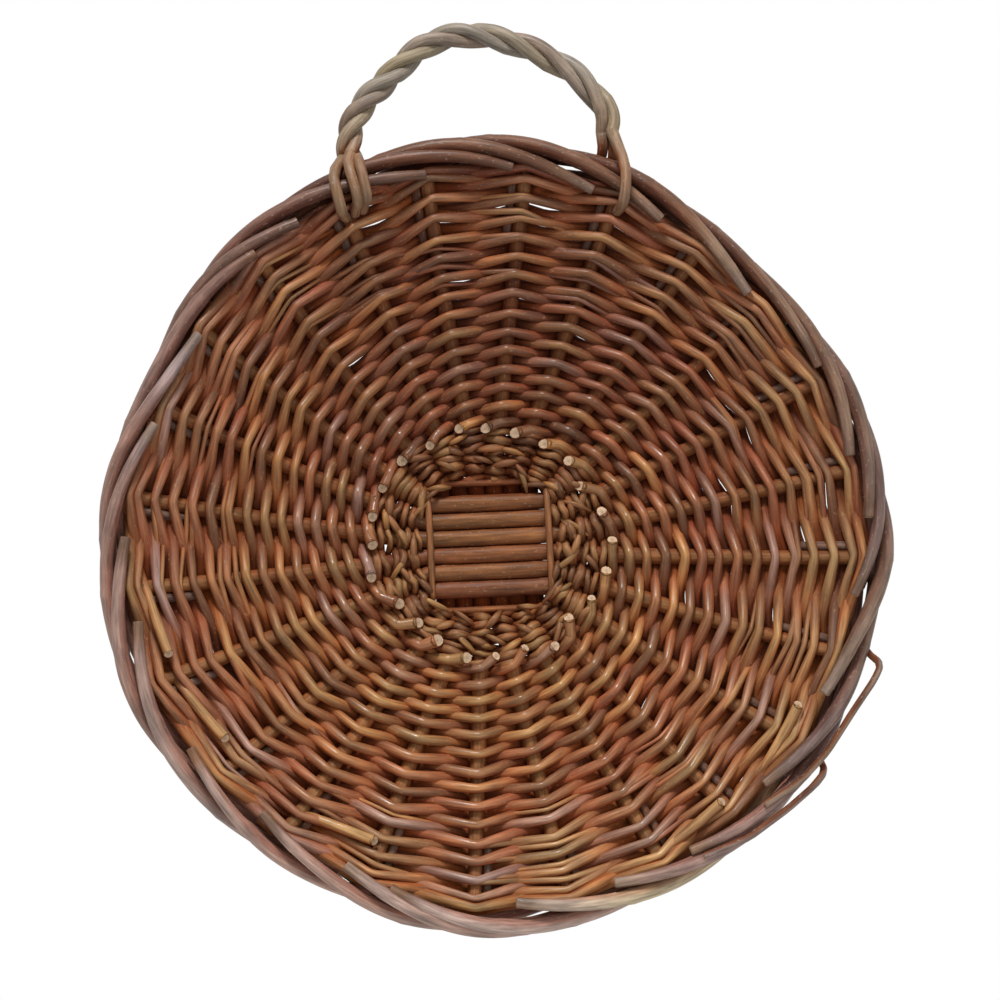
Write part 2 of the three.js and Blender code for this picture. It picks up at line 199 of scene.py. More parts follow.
# What every rod has: an uneven thickness, knots and cut ends
SEED_RANGE = (0, 50)
ROD_SWING = 0.05
ROD_PACE = 60
FIRST_KNOT_RANGE = (0.01, 0.05)
KNOT_SPACE_RANGE = (0.03, 0.07)
KNOT_SWELL = 0.07
KNOT_REACH = 0.0022
CUT_WIDTH = 0.84
CUT_BULGE = 0.12
PIECED_CUT = 0.8

# Painted shade and wear of the bark: dark with painted shade and dull down between the rods, clean where it
# stands this far proud
PAINTED_RECESS_SHADE = (0.66, 0.3, 0.13)
# Painted shade on the border, greyer than the one in the weave
BORDER_PAINTED_SHADE = (0.68, 0.48, 0.42)
RECESS_DEPTH = 0.0004
CREST_HEIGHT = 0.0074
WEAVE_EDGE = 0.179
HANDLE_EDGE = 0.2
HANDLE_SHADE_AND_WEAR = 2

# How its colour drifts along a rod, and the painted light and sheen over the basket
TINT_SWING = 0.9
TINT_PACE = 14
LIGHT_SWING = 0.22
LIGHT_PACE = 45
PAINTED_LIGHT_FALL = (0.45, 0.59, 0.62)  # painted light from above: how much paler the basket is painted at its bottom, and darker at its top
OUTER_PAINTED_LIGHT_FALL = 0.2  # the share of that in the outer weave
OUTER_PAINTED_SHEEN = (1.14, 1.3, 1.5)  # painted sheen and light: how much lighter and greyer the outer weave is painted
OUTER_START = 0.14
OUTER_FADE = 0.03
RIM_FADE = 0.006

# The grain of the bark and of the cut ends: scales along a rod and across it, and what the noise does
STREAK_SCALE = (70, 900, 900)
BLOTCH_SCALE = (60, 160, 160)
FLECK_SCALE = (420, 900, 900)
FIBRE_SCALE = (10, 1500, 1500)
NOISE_SPAN = (0.3, 0.7)
STREAK_LIGHT = (0.62, 1.3)
BLOTCH_LIGHT = (0.72, 1.24)
FLECK_EDGE = (0.66, 0.74)
FIBRE_LIGHT = (0.65, 1.2)
PITH_EDGE = (0.0003, 0.0012)
PITH_LIGHT = (0.7, 1)
STREAK_RELIEF = 0.35
STREAK_DEPTH = 0.0004
RECESS_ROUGHNESS = 0.9
CUT_ROUGHNESS = 0.75

# Bark colours
OLIVE = (0.232, 0.123, 0.046)
OCHRE = (0.355, 0.17, 0.058)
RED_BROWN = (0.255, 0.088, 0.038)
BROWN = (0.242, 0.104, 0.04)
DARK_BROWN = (0.128, 0.054, 0.024)
STICK_OLIVE = (0.18, 0.074, 0.025)
STICK_BROWN = (0.185, 0.067, 0.023)
STICK_RED = (0.195, 0.057, 0.022)
TOP_BROWN = (0.265, 0.156, 0.088)
MAUVE_DARK = (0.148, 0.091, 0.083)
MAUVE = (0.26, 0.148, 0.114)
MAUVE_GREY = (0.29, 0.19, 0.158)
PALE_GREY = (0.245, 0.204, 0.162)
GREY_BROWN = (0.18, 0.113, 0.078)
GREY_OLIVE = (0.18, 0.15, 0.115)
HANDLE_OLIVE = (0.228, 0.176, 0.105)
FOOT_OLIVE = (0.225, 0.12, 0.058)
FOOT_BROWN = (0.165, 0.083, 0.043)
PALE_OLIVE = (0.38, 0.29, 0.17)
BARE_WOOD = (0.52, 0.36, 0.23)

# Bark of another colour at the ends, and painted shade at the ends of the stakes: the colours, their reach
# from the first and the last end, and the fade
STICK_ENDS = ((BROWN, OLIVE), 0.115, 0.115, 0.02)
# Painted shade: the stakes' legs and tips are painted dark where they lie under the border
STAKE_SHADED_ENDS = ((DARK_BROWN, GREY_BROWN), 0.03, 0.006, 0.012)
HANDLE_ENDS = ((FOOT_OLIVE, FOOT_BROWN), 0.035, 0.03, 0.045)

# The floor, the light and the camera
FLOOR_HALF = 6
FLOOR_Z = -0.75
FLOOR_COLOUR = (0.86, 0.86, 0.86, 1)
FLOOR_ROUGHNESS = 0.9
FLOOR_WHITE_SPAN = (0.9, 2.2)  # how far out the floor turns white
WHITE = (1, 1, 1, 1)
SKY_COLOUR = (1, 0.98, 0.95, 1)
SKY_STRENGTH = 0.36
BASKET_MIDDLE = (0, 0.02, -0.24)
VIEW_LEFT = math.radians(5)
VIEW_BELOW = math.radians(6)
VIEW_DISTANCE = 1.3
VIEW_WIDTH = 0.5
AIM_ACROSS = 0.0008
AIM_UP = 0.015
VIEWER = Vector((0, -1, 0))

chance = random.Random(11)


def clamped(value, low=0.0, high=1.0):
    return max(low, min(high, value))


def between(first, second, share):
    return first + (second - first) * share


def rim_swell(turned):
    """How much wider than a true circle the rim is in a direction, as a share of its radius."""
    swell = 0
    for degrees, width, share in RIM_SWELLS:
        off = math.remainder(turned - math.radians(degrees), 2 * math.pi) / math.radians(width)
        swell += share * math.exp(-off * off)
    return swell


def on_dish(angle, distance, lift):
    """A place on the dish: angle clockwise from the top, distance from the axis, lift to the viewer."""
    lean = math.asin(distance / BALL_RADIUS)
    reach = BALL_RADIUS - lift
    turned = angle + BASE_TURN
    spread = distance / RIM_RADIUS
    from_axis = reach * math.sin(lean) * (1 + rim_swell(turned) * spread ** 3)
    still = max(1 - spread ** 2, 0)
    return Vector((
        from_axis * math.sin(turned) + BASE_SHIFT[0] * still,
        DISH_DEPTH - BALL_RADIUS + reach * math.cos(lean),
        from_axis * math.cos(turned) + BASE_SHIFT[1] * still + DISH_MIDDLE_Z,
    ))


def off_dish(place):
    """The distance and the lift of a place, and the directions outwards and to the viewer there."""
    outward = Vector((place.x, 0, place.z - DISH_MIDDLE_Z))
    still = max(1 - (outward.length / RIM_RADIUS) ** 2, 0)
    outward -= Vector((BASE_SHIFT[0], 0, BASE_SHIFT[1])) * still
    swell = rim_swell(math.atan2(outward.x, outward.z)) * (outward.length / RIM_RADIUS) ** 3
    distance = outward.length / (1 + swell)
    depth = place.y - DISH_DEPTH + BALL_RADIUS
    lift = BALL_RADIUS - math.hypot(distance, depth)
    outward.normalize()
    to_viewer = (Vector((0, -depth, 0)) - outward * distance).normalized()
    return distance, lift, outward, to_viewer


def on_middle(across, up, lift):
    """The same as on_dish by offsets across and up, on the flat middle of the dish."""
    place = on_dish(math.atan2(across, up), math.hypot(across, up), 0)
    place.y = DISH_DEPTH - lift
    return place


def thick(place, radius):
    """A point of a rod's path with the rod's radius as its fourth number."""
    return Vector((place.x, place.y, place.z, radius))


def rounded(path, passes=2, share=0.25, longest=1.0):
    """The path with its corners cut, so that its bends are round."""
    for _ in range(passes):
        cut = [path[0]]
        for first, second in zip(path, path[1:]):
            length = (second - first).to_3d().length
            part = min(share, longest / max(length, 1e-6))
            cut.append(first.lerp(second, part))
            cut.append(first.lerp(second, 1 - part))
        cut.append(path[-1])
        path = cut
        longest *= share
    return path


def path_frames(path):
    """Each point of a path with the heading there and two directions square to it."""
    places = [point.to_3d() for point in path]
    headings = []
    for i in range(len(places)):
        before = places[max(i - 1, 0)]
        after = places[min(i + 1, len(places) - 1)]
        headings.append((after - before).normalized())
    front = headings[0].orthogonal()
    frames = []
    for place, heading in zip(places, headings):
        front = (front - heading * front.dot(heading)).normalized()
        frames.append((place, heading, front, heading.cross(front)))
    return frames


def drift(along, pace, seed, row):
    """Noise along a rod, about -1 to 1, another for each seed and row."""
    return noise.noise(Vector((along * pace, seed, row)))


def bark_tint(colours, recess_shades, seed, along, unshaded, place, gets_painted_light_fall):
    """The colour of a rod's bark: it drifts along the rod, darkens with painted shade in the gaps, has
    painted light that makes it paler to the bottom and darker to the top, and a painted sheen that makes
    the outer weave lighter and greyer.
    """
    share = clamped(0.5 + TINT_SWING * drift(along, TINT_PACE, seed * 3.7, 0.3))
    light = 1 + LIGHT_SWING * drift(along, LIGHT_PACE, seed * 1.9, 5.1)
    from_middle = math.hypot(place.x, place.z - DISH_MIDDLE_Z)
    # Where the painted sheen and light lie: the outer weave, fading out towards the rim
    outer = clamped((from_middle - OUTER_START) / OUTER_FADE)
    outer *= clamped((RIM_RADIUS - from_middle) / RIM_FADE)
    down = 0
    if gets_painted_light_fall:
        # Painted light from above: paler towards the bottom, darker towards the top
        down = clamped((DISH_MIDDLE_Z - place.z) / RIM_RADIUS, -1, 1) * between(1, OUTER_PAINTED_LIGHT_FALL, outer)
    mixed = []
    for first, second, recess_shade, light_fall, sheen in zip(*colours, recess_shades, PAINTED_LIGHT_FALL, OUTER_PAINTED_SHEEN):
        painted_light = (1 + light_fall * down) * between(1, sheen, outer)
        # Painted shade: the colour darkens down between the rods
        mixed.append(between(first, second, share) * light * painted_light * between(recess_shade, 1, unshaded))
    return (*mixed, 1)


def bark_shade_and_wear(distance, lift, outward, to_viewer, aside):
    """How much painted shade and wear the bark has: 0 where it faces in between the rods, painted dark and
    dull there, 1 where it stands proud of them.
    """
    facing = aside.normalized()
    proud = (lift + aside.dot(to_viewer)) * facing.dot(to_viewer)
    proud += clamped(distance - WEAVE_EDGE, 0, HANDLE_EDGE - WEAVE_EDGE) * facing.dot(outward)
    proud += max(distance - HANDLE_EDGE, 0) * HANDLE_SHADE_AND_WEAR
    share = clamped((proud + RECESS_DEPTH) / (CREST_HEIGHT + RECESS_DEPTH))
    return share * share * (3 - 2 * share)


def grow_rod(name, path, colours, bark, nodes=(), sides=10, first_cut=None, ends=None,
             recess_shades=PAINTED_RECESS_SHADE, gets_painted_light_fall=True):
    """A willow rod: a ring extruded along its path, with knots, and with pale cut ends."""
    seed = chance.uniform(*SEED_RANGE)
    shape = bmesh.new()
    around = shape.verts.layers.float.new("around")
    grain = shape.verts.layers.float_vector.new("grain")
    tint = shape.verts.layers.float_color.new("tint")
    shade_and_wear = shape.verts.layers.float.new("shade_and_wear")
    ring = bmesh.ops.create_circle(shape, segments=sides, radius=1)["verts"]
    for vert in ring:
        vert[around] = math.atan2(vert.co.y, vert.co.x)
    edges = list(shape.edges)
    frames = path_frames(path)
    total = sum((after[0] - before[0]).length for before, after in zip(frames, frames[1:]))
    along = 0
    knot = chance.uniform(*FIRST_KNOT_RANGE)

    def extruded(loop):
        made = bmesh.ops.extrude_edge_only(shape, edges=loop)["geom"]
        verts = [part for part in made if isinstance(part, bmesh.types.BMVert)]
        return verts, [part for part in made if isinstance(part, bmesh.types.BMEdge) and part.is_boundary]

    def settle(verts, step, radius, ahead, cut):
        place, heading, front, side = frames[step]
        spot = off_dish(place)
        for vert in verts:
            turn = vert[around]
            aside = (front * math.cos(turn) + side * math.sin(turn)) * radius
            slide = 0
            if cut is not None:
                slide = -aside.dot(cut) / heading.dot(cut)
            vert.co = place + aside + heading * (ahead + slide)
            vert[grain] = (along + seed, radius * math.cos(turn), radius * math.sin(turn))
            # How much painted shade and wear the bark has here
            vert[shade_and_wear] = bark_shade_and_wear(*spot, aside)
            where = (recess_shades, seed, along, vert[shade_and_wear], place, gets_painted_light_fall)
            vert[tint] = bark_tint(colours, *where)
            if ends is not None:
                end_colours, first_reach, last_reach, fade = ends
                share = clamped(min(along - first_reach, total - along - last_reach) / fade)
                vert[tint] = Vector(bark_tint(end_colours, *where)).lerp(Vector(vert[tint]), share)

    def close(loop, step, radius, ahead, cut):
        verts, loop = extruded(loop)
        settle(verts, step, radius * CUT_WIDTH, ahead, cut)
        face = bmesh.ops.contextual_create(shape, geom=loop)["faces"][0]
        poked = bmesh.ops.poke(shape, faces=[face])
        for part in poked["faces"]:
            part.material_index = 1
        poked["verts"][0][grain] = (along + seed, 0, 0)

    first_edges = edges
    for step in range(len(path)):
        if step > 0:
            along += (frames[step][0] - frames[step - 1][0]).length
            ring, edges = extruded(edges)
        radius = path[step].w * (1 + ROD_SWING * drift(along, ROD_PACE, seed, 0))
        if along > knot + 2 * KNOT_REACH:
            knot = along + chance.uniform(*KNOT_SPACE_RANGE)
        radius *= 1 + KNOT_SWELL * math.exp(-((along - knot) / KNOT_REACH) ** 2)
        settle(ring, step, radius, 0, first_cut if step == 0 else None)
    close(edges, len(path) - 1, path[-1].w, path[-1].w * CUT_BULGE, None)
    along = 0
    close(first_edges, 0, path[0].w, -path[0].w * CUT_BULGE, first_cut)
    for face in shape.faces:
        face.smooth = face.material_index == 0
    bmesh.ops.recalc_face_normals(shape, faces=shape.faces)
    mesh = bpy.data.meshes.new(name)
    shape.to_mesh(mesh)
    shape.free()
    mesh.materials.append(bark)
    mesh.materials.append(CUT_WOOD)
    piece = bpy.data.objects.new(name, mesh)
    bpy.context.scene.collection.objects.link(piece)
    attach(piece, "root")
    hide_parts(*nodes)


def new_material(name):
    material = bpy.data.materials.new(name)
    material.use_nodes = True
    nodes = material.node_tree.nodes
    links = material.node_tree.links
    return material, nodes, links, nodes["Principled BSDF"]


def attribute(nodes, name):
    node = nodes.new("ShaderNodeAttribute")
    node.attribute_name = name
    return node


def stretched(nodes, links, vector, scale):
    node = nodes.new("ShaderNodeMapping")
    node.inputs["Scale"].default_value = scale
    links.new(vector, node.inputs["Vector"])
    return node.outputs["Vector"]


def grain_noise(nodes, links, grain, scale, detail):
    vector = stretched(nodes, links, grain, scale)
    node = nodes.new("ShaderNodeTexNoise")
    node.inputs["Scale"].default_value = 1
    node.inputs["Detail"].default_value = detail
    links.new(vector, node.inputs["Vector"])
    return node.outputs["Fac"]


def ranged(nodes, links, value, span, results):
    """A value that goes from one result to the other over a span."""
    node = nodes.new("ShaderNodeMapRange")
    for name, number in zip(("From Min", "From Max", "To Min", "To Max"), (*span, *results)):
        node.inputs[name].default_value = number
    links.new(value, node.inputs["Value"])
    return node.outputs["Result"]


def blended(nodes, links, kind, first, second, share):
    node = nodes.new("ShaderNodeMix")
    node.data_type = "RGBA"
    node.blend_type = kind
    for name, value in (("Factor", share), ("A", first), ("B", second)):
        socket = node.inputs[name]
        if isinstance(value, bpy.types.NodeSocket):
            links.new(value, socket)
        else:
            socket.default_value = value
    return node.outputs["Result"]


def willow_bark(name, gloss, shine, fleck, fleck_share):
    """Bark with long streaks, small pale flecks and an uneven gloss, along each rod's own grain."""
    material, nodes, links, shader = new_material(name)
    grain = attribute(nodes, "grain").outputs["Vector"]
    tint = attribute(nodes, "tint").outputs["Color"]
    streaks = grain_noise(nodes, links, grain, STREAK_SCALE, detail=4)
    blotches = grain_noise(nodes, links, grain, BLOTCH_SCALE, detail=3)
    flecks = grain_noise(nodes, links, grain, FLECK_SCALE, detail=1)
    streak_light = ranged(nodes, links, streaks, NOISE_SPAN, STREAK_LIGHT)
    blotch_light = ranged(nodes, links, blotches, NOISE_SPAN, BLOTCH_LIGHT)
    colour = blended(nodes, links, "MULTIPLY", tint, streak_light, 1.0)
    colour = blended(nodes, links, "MULTIPLY", colour, blotch_light, 1.0)
    spots = ranged(nodes, links, flecks, FLECK_EDGE, (0, fleck_share))
    colour = blended(nodes, links, "MIX", colour, (*fleck, 1), spots)
    links.new(colour, shader.inputs["Base Color"])
    dulled = nodes.new("ShaderNodeMix")
    dulled.inputs["A"].default_value = RECESS_ROUGHNESS
    links.new(attribute(nodes, "shade_and_wear").outputs["Fac"], dulled.inputs["Factor"])
    links.new(ranged(nodes, links, blotches, NOISE_SPAN, gloss), dulled.inputs["B"])
    links.new(dulled.outputs["Result"], shader.inputs["Roughness"])
    shader.inputs["Specular IOR Level"].default_value = shine
    bump = nodes.new("ShaderNodeBump")
    bump.inputs["Strength"].default_value = STREAK_RELIEF
    bump.inputs["Distance"].default_value = STREAK_DEPTH
    links.new(streaks, bump.inputs["Height"])
    links.new(bump.outputs["Normal"], shader.inputs["Normal"])
    return material


def cut_wood(name):
    """Pale cut ends with faint fibres and a darker pith."""
    material, nodes, links, shader = new_material(name)
    grain = attribute(nodes, "grain").outputs["Vector"]
    flat = stretched(nodes, links, grain, (0, 1, 1))
    length = nodes.new("ShaderNodeVectorMath")
    length.operation = "LENGTH"
    links.new(flat, length.inputs[0])
    pith = ranged(nodes, links, length.outputs["Value"], PITH_EDGE, PITH_LIGHT)
    fibres = grain_noise(nodes, links, grain, FIBRE_SCALE, detail=3)
    fibre_light = ranged(nodes, links, fibres, NOISE_SPAN, FIBRE_LIGHT)
    colour = blended(nodes, links, "MULTIPLY", (*BARE_WOOD, 1), pith, 1.0)
    colour = blended(nodes, links, "MULTIPLY", colour, fibre_light, 1.0)
    links.new(colour, shader.inputs["Base Color"])
    shader.inputs["Roughness"].default_value = CUT_ROUGHNESS
    return material


CUT_WOOD = cut_wood("cut_wood")
STICK_BARK = willow_bark(
    "stick_bark", gloss=(0.36, 0.52), shine=0.18, fleck=(0.3, 0.19, 0.11), fleck_share=0.5)
BINDING_BARK = willow_bark(
    "binding_bark", gloss=(0.36, 0.52), shine=0.22, fleck=(0.36, 0.22, 0.1), fleck_share=0.4)
WEAVER_BARK = willow_bark(
    "weaver_bark", gloss=(0.2, 0.38), shine=0.32, fleck=(0.36, 0.2, 0.09), fleck_share=0.4)
BORDER_BARK = willow_bark(
    "border_bark", gloss=(0.34, 0.5), shine=0.28, fleck=(0.34, 0.25, 0.2), fleck_share=0.45)
HANDLE_BARK = willow_bark(
    "handle_bark", gloss=(0.42, 0.6), shine=0.32, fleck=(0.36, 0.3, 0.22), fleck_share=0.4)

# Base sticks: six across in front, six upright behind, and their 24 arms as the spokes
spoke_jitter = [math.radians(chance.uniform(*JITTER_RANGE)) for _ in range(SPOKES)]


def spoke_angle(spoke, distance):
    share = clamped((distance - FAN_END) / JITTER_REACH)
    return (spoke + 0.5) * SPOKE_STEP + spoke_jitter[spoke % SPOKES] * share


def spoke_radius(distance):
    """Half the thickness of a spoke, which is that of its stick where it leaves the crossing."""
    arm = between(ARM_RADIUS, TIP_RADIUS, clamped((distance - FAN_END) / (SPOKE_END - FAN_END)))
    return between(STICK_RADIUS, arm, clamped((distance - FAN_END) / THINNING_REACH))


def stick_lift(spoke, distance):
    """How far a stick still lies before or behind the dish on its way out of the crossing."""
    half_turn = 2 * STICKS_EACH_WAY
    is_across = STICKS_EACH_WAY // 2 <= spoke % half_turn < half_turn - STICKS_EACH_WAY // 2
    share = clamped((FAN_END - distance) / (FAN_END - CROSSING_HALF))
    return (CROSSING_LIFT if is_across else -CROSSING_LIFT) * share


def stick_arm(index, is_across, end):
    """One arm of a base stick from the crossing out to the border."""
    order = index - (STICKS_EACH_WAY - 1) / 2
    aside = order * (ACROSS_PITCH if is_across else UPRIGHT_PITCH)
    radius = STICK_RADIUS if is_across else UPRIGHT_RADIUS
    lift = CROSSING_LIFT if is_across else -CROSSING_LIFT
    arm = []
    for stop in CROSSING_STOPS:
        out = end * CROSSING_HALF * stop
        across, height = (out, -aside) if is_across else (aside, out)
        arm.append(thick(on_middle(across, height, lift), radius))
    quarter = STICKS_EACH_WAY if is_across else 0
    spoke = quarter + round(order - 0.5)
    if end < 0:
        spoke = quarter + SPOKES // 2 - 1 - round(order - 0.5)
    for step in range(ARM_STEPS + 1):
        distance = between(FAN_END, SPOKE_END, step / ARM_STEPS)
        arm.append(thick(on_dish(spoke_angle(spoke, distance), distance, 0), spoke_radius(distance)))
    return arm


STICK_COLOURS = [
    (STICK_OLIVE, STICK_BROWN), (STICK_BROWN, STICK_OLIVE), (STICK_OLIVE, STICK_BROWN),
    (STICK_BROWN, STICK_RED), (STICK_BROWN, STICK_OLIVE), (STICK_RED, DARK_BROWN),
]
for index in range(STICKS_EACH_WAY):
    for is_across, word in ((True, "across"), (False, "upright")):
        path = stick_arm(index, is_across, -1)[::-1] + stick_arm(index, is_across, 1)
        name = f"base_stick_{word}_{index + 1}"
        colours = STICK_COLOURS[index] if is_across else (STICK_BROWN, STICK_OLIVE)
        grow_rod(f"{name}_willow", rounded(path), colours, STICK_BARK, [name],
                 sides=14, ends=STICK_ENDS)


def tie_path(reach, over_uprights):
    """A thin rod bound once round the crossing."""
    path = []
    height = CROSSING_LIFT + STICK_RADIUS + TIE_RADIUS
    if over_uprights:
        height -= 2 * CROSSING_LIFT - TIE_RADIUS
    for side in range(4):
        angle = side * math.pi / 2
        lift = height if (side % 2 == 0) == over_uprights else -height
        for along, share in TIE_STOPS:
            across = along * reach
            right = across * math.cos(angle) + reach * math.sin(angle)
            up = reach * math.cos(angle) - across * math.sin(angle)
            width = TIE_RADIUS * chance.uniform(*TIE_WIDTH_RANGE)
            path.append(thick(on_middle(right, up, lift * share), width))
    return rounded(path)


for word, reach, over_uprights in (("inner", TIE_REACH, False), ("outer", TIE_REACH + TIE_SPACE, True)):
    name = f"slath_tie_{word}"
    grow_rod(f"{name}_willow", tie_path(reach, over_uprights), (STICK_BROWN, BROWN), BINDING_BARK,
             [name], sides=8)

# Pairing: two thin strands from the square of the ties out to the round of the weave
PAIRING_COLOURS = [(OLIVE, BROWN), (BROWN, DARK_BROWN)]


def pairing_distance(angle, share):
    square = PAIRING_START / max(abs(math.cos(angle)), abs(math.sin(angle)))
    return between(min(square, PAIRING_START * PAIRING_CORNER), PAIRING_END, share)


for strand in (0, 1):
    path = []
    for stroke in range(round(PAIRING_ROWS * SPOKES) + 1):
        share = (stroke / SPOKES + strand / 2) / (PAIRING_ROWS + 0.5)
        angle = (stroke + 0.5) * SPOKE_STEP
        distance = pairing_distance(angle, share) + chance.uniform(*PAIRING_DRIFT_RANGE)
        room = spoke_radius(distance) + PAIRING_RADIUS * chance.uniform(*PAIRING_ROOM_RANGE)
        lift = stick_lift(stroke, distance) + (room if (stroke + strand) % 2 == 0 else -room)
        width = PAIRING_RADIUS * chance.uniform(*PAIRING_WIDTH_RANGE)
        slant = chance.uniform(*PAIRING_SLANT_RANGE)
        for aside in (-PAIRING_CREST, PAIRING_CREST):
            place = on_dish(angle + aside * SPOKE_STEP, distance + aside * slant * PAIRING_TILT, lift)
            path.append(thick(place, width))
    name = f"pairing_weaver_{strand + 1}"
    grow_rod(f"{name}_willow", rounded(path, share=0.2), PAIRING_COLOURS[strand], BINDING_BARK,
             [name], sides=8)

# Tucked tips: the thin ends of rods that were pushed in between the strands of the pairing
TIP_COLOURS = [(OLIVE, BROWN), (BROWN, DARK_BROWN), (OCHRE, OLIVE), (DARK_BROWN, BROWN)]
tip_places = [(None, None)] * TUCKED_TIPS
for count, outward in TIP_RINGS:
    tip_places += [((place + 0.5) * 2 * math.pi / count, outward) for place in range(count)]
for index, (ring_angle, outward) in enumerate(tip_places):
    angle = (index + chance.uniform(0, 1)) * 2 * math.pi / TUCKED_TIPS
    distance = chance.uniform(*TUCKED_DISTANCE_RANGE)
    slant = chance.uniform(*TUCKED_SLANT_RANGE)
    half = chance.uniform(*TUCKED_HALF_RANGE)
    radius = chance.uniform(*TUCKED_RADIUS_RANGE)
    spoke = round(angle / SPOKE_STEP - 0.5)
    lift = max(stick_lift(spoke, distance), 0) + spoke_radius(distance) + TUCKED_LIFT * PAIRING_RADIUS
    if ring_angle is not None:
        angle = ring_angle
        distance = pairing_distance(angle, outward) + RING_OUTWARD
        slant = chance.uniform(*RING_SLANT_RANGE)
        half = RING_HALF
        radius = RING_RADIUS
        spoke = round(angle / SPOKE_STEP - 0.5)
        lift = RING_LIFT * stick_lift(spoke, distance)
    path = []
    for share, drop, width in TIP_STOPS:
        along = share * half
        turned = angle + along * math.cos(slant) / distance
        place = on_dish(turned, distance + along * math.sin(slant), lift - drop)
        path.append(thick(place, radius * width))
    grow_rod(f"tucked_tip_{index + 1:02d}", rounded(path), TIP_COLOURS[index % len(TIP_COLOURS)],
             BINDING_BARK, sides=8)

# Weavers: each climbs one rod at every spoke, in front of one and behind the next
WEAVER_COLOURS = 3 * [
    (BROWN, OLIVE), (RED_BROWN, BROWN), (OLIVE, OCHRE), (BROWN, RED_BROWN),
    (DARK_BROWN, BROWN), (OCHRE, RED_BROWN), (MAUVE, BROWN), (BROWN, OCHRE),
]
chance.shuffle(WEAVER_COLOURS)


def weave_drift(angle, distance):
    """How far the rows wander in or out, the same for rods that lie side by side."""
    spot = Vector((math.sin(angle), math.cos(angle), 0)) * distance
    return WEAVE_DRIFT * noise.noise(spot * DRIFT_PACE) * clamped((distance - WEAVE_START) / DRIFT_REACH)


def back_inward(angle):
    """How far in the back of a stroke lies, which is more at the lower left than at the upper right."""
    return BACK_INWARD - BACK_SWING * (math.sin(angle) + math.cos(angle))


def weaver_path(weaver):
    path = []
    size = chance.uniform(*WEAVER_SIZE_RANGE)
    for stroke in range(WEAVE_STROKES + 1):
        share = stroke / WEAVE_STROKES
        is_front = stroke % 2 == 0
        radius = between(*(FRONT_RADII if is_front else BACK_RADII), share)
        radius = radius * size * chance.uniform(*STROKE_WIDTH_RANGE)
        packed = max(stroke - PACKED_STROKE, 0)
        distance = WEAVE_START + (stroke - packed) * WEAVE_CLIMB + packed * PACKED_CLIMB
        distance += chance.uniform(*STROKE_DISTANCE_RANGE)
        room = spoke_radius(distance) * PRESSED_SPOKE + radius * PRESSED_WEAVER
        lift = (room if is_front else -room) * chance.uniform(*STROKE_LIFT_RANGE)
        angle = spoke_angle(weaver + stroke, distance)
        distance += weave_drift(angle, distance)
        space = distance * SPOKE_STEP
        sag = WEAVE_SAG * space * clamped(share * SAG_GROWTH)
        crest = clamped(CREST_SHARE * space, *CREST_LIMITS)
        spread = back_inward(angle) * distance / BALL_RADIUS
        climb = WEAVE_CLIMB if packed == 0 else PACKED_CLIMB
        steps = [(-crest, 0, lift), (crest, 0, lift)]
        if not is_front:
            beside = SAG_PLACE * space
            height = lift * (1 - 2 * SAG_PLACE)
            steps = [(-beside, sag, height), *steps, (beside, sag, height)]
        for aside, inward, height in steps:
            reach = distance + climb * aside / space - inward + spread * height
            path.append(thick(on_dish(angle + aside / distance, reach, height), radius))
        if stroke == 0:
            tail = chance.uniform(*BUTT_LENGTH_RANGE)
            inward = chance.uniform(*BUTT_INWARD_RANGE)
            height = lift + tail * chance.uniform(*BUTT_RISE_RANGE)
            start = on_dish(angle - tail / distance, distance - inward, height)
            path.insert(0, thick(start, radius * chance.uniform(*BUTT_WIDTH_RANGE)))
    return rounded(path, longest=ELBOW_REACH)


for weaver in range(SPOKES):
    name = f"rand_weaver_{weaver + 1:02d}"
    path = weaver_path(weaver)
    heading = (path[0] - path[1]).to_3d().normalized()
    butt_cut = -(heading + VIEWER * chance.uniform(*BUTT_CUT_RANGE)).normalized()
    grow_rod(f"{name}_willow", path, WEAVER_COLOURS[weaver], WEAVER_BARK, [name],
             first_cut=butt_cut)

# Thin weavers: tips of rods pieced in between the strokes of the outer weave, in front of one spoke each
for index in range(THIN_WEAVERS):
    spoke = (index * THIN_STRIDE + THIN_FIRST_SPOKE) % SPOKES
    row = chance.randrange(*THIN_ROWS)
    row += (row + spoke) % 2
    middle = WEAVE_START + (row + chance.uniform(*THIN_ROW_RANGE)) * WEAVE_CLIMB
    radius = chance.uniform(*THIN_RADIUS_RANGE)
    tilt = chance.uniform(*THIN_TILT_RANGE)
    angle = spoke_angle(spoke, middle)
    room = spoke_radius(middle) + radius
    sag = WEAVE_SAG * middle * SPOKE_STEP * chance.uniform(*THIN_SAG_RANGE)
    path = []
    for spaces, height in THIN_STOPS:
        inward = sag * min(abs(spaces) / THIN_SAG_PLACE, 1)
        width = radius * between(*THIN_WIDTHS, (spaces + THIN_END) / (2 * THIN_END))
        place = on_dish(angle + spaces * SPOKE_STEP, middle + tilt * spaces - inward, height * room)
        path.append(thick(place, width))
    grow_rod(f"thin_weaver_{index + 1:02d}", rounded(path, longest=ELBOW_REACH),
             WEAVER_COLOURS[index % len(WEAVER_COLOURS)], WEAVER_BARK, sides=8)

# Border: each stake stands beside its spoke, turns behind the rim and rolls over it to the front
PROUD_STAKES = {5: 0.003, 18: 0.005}
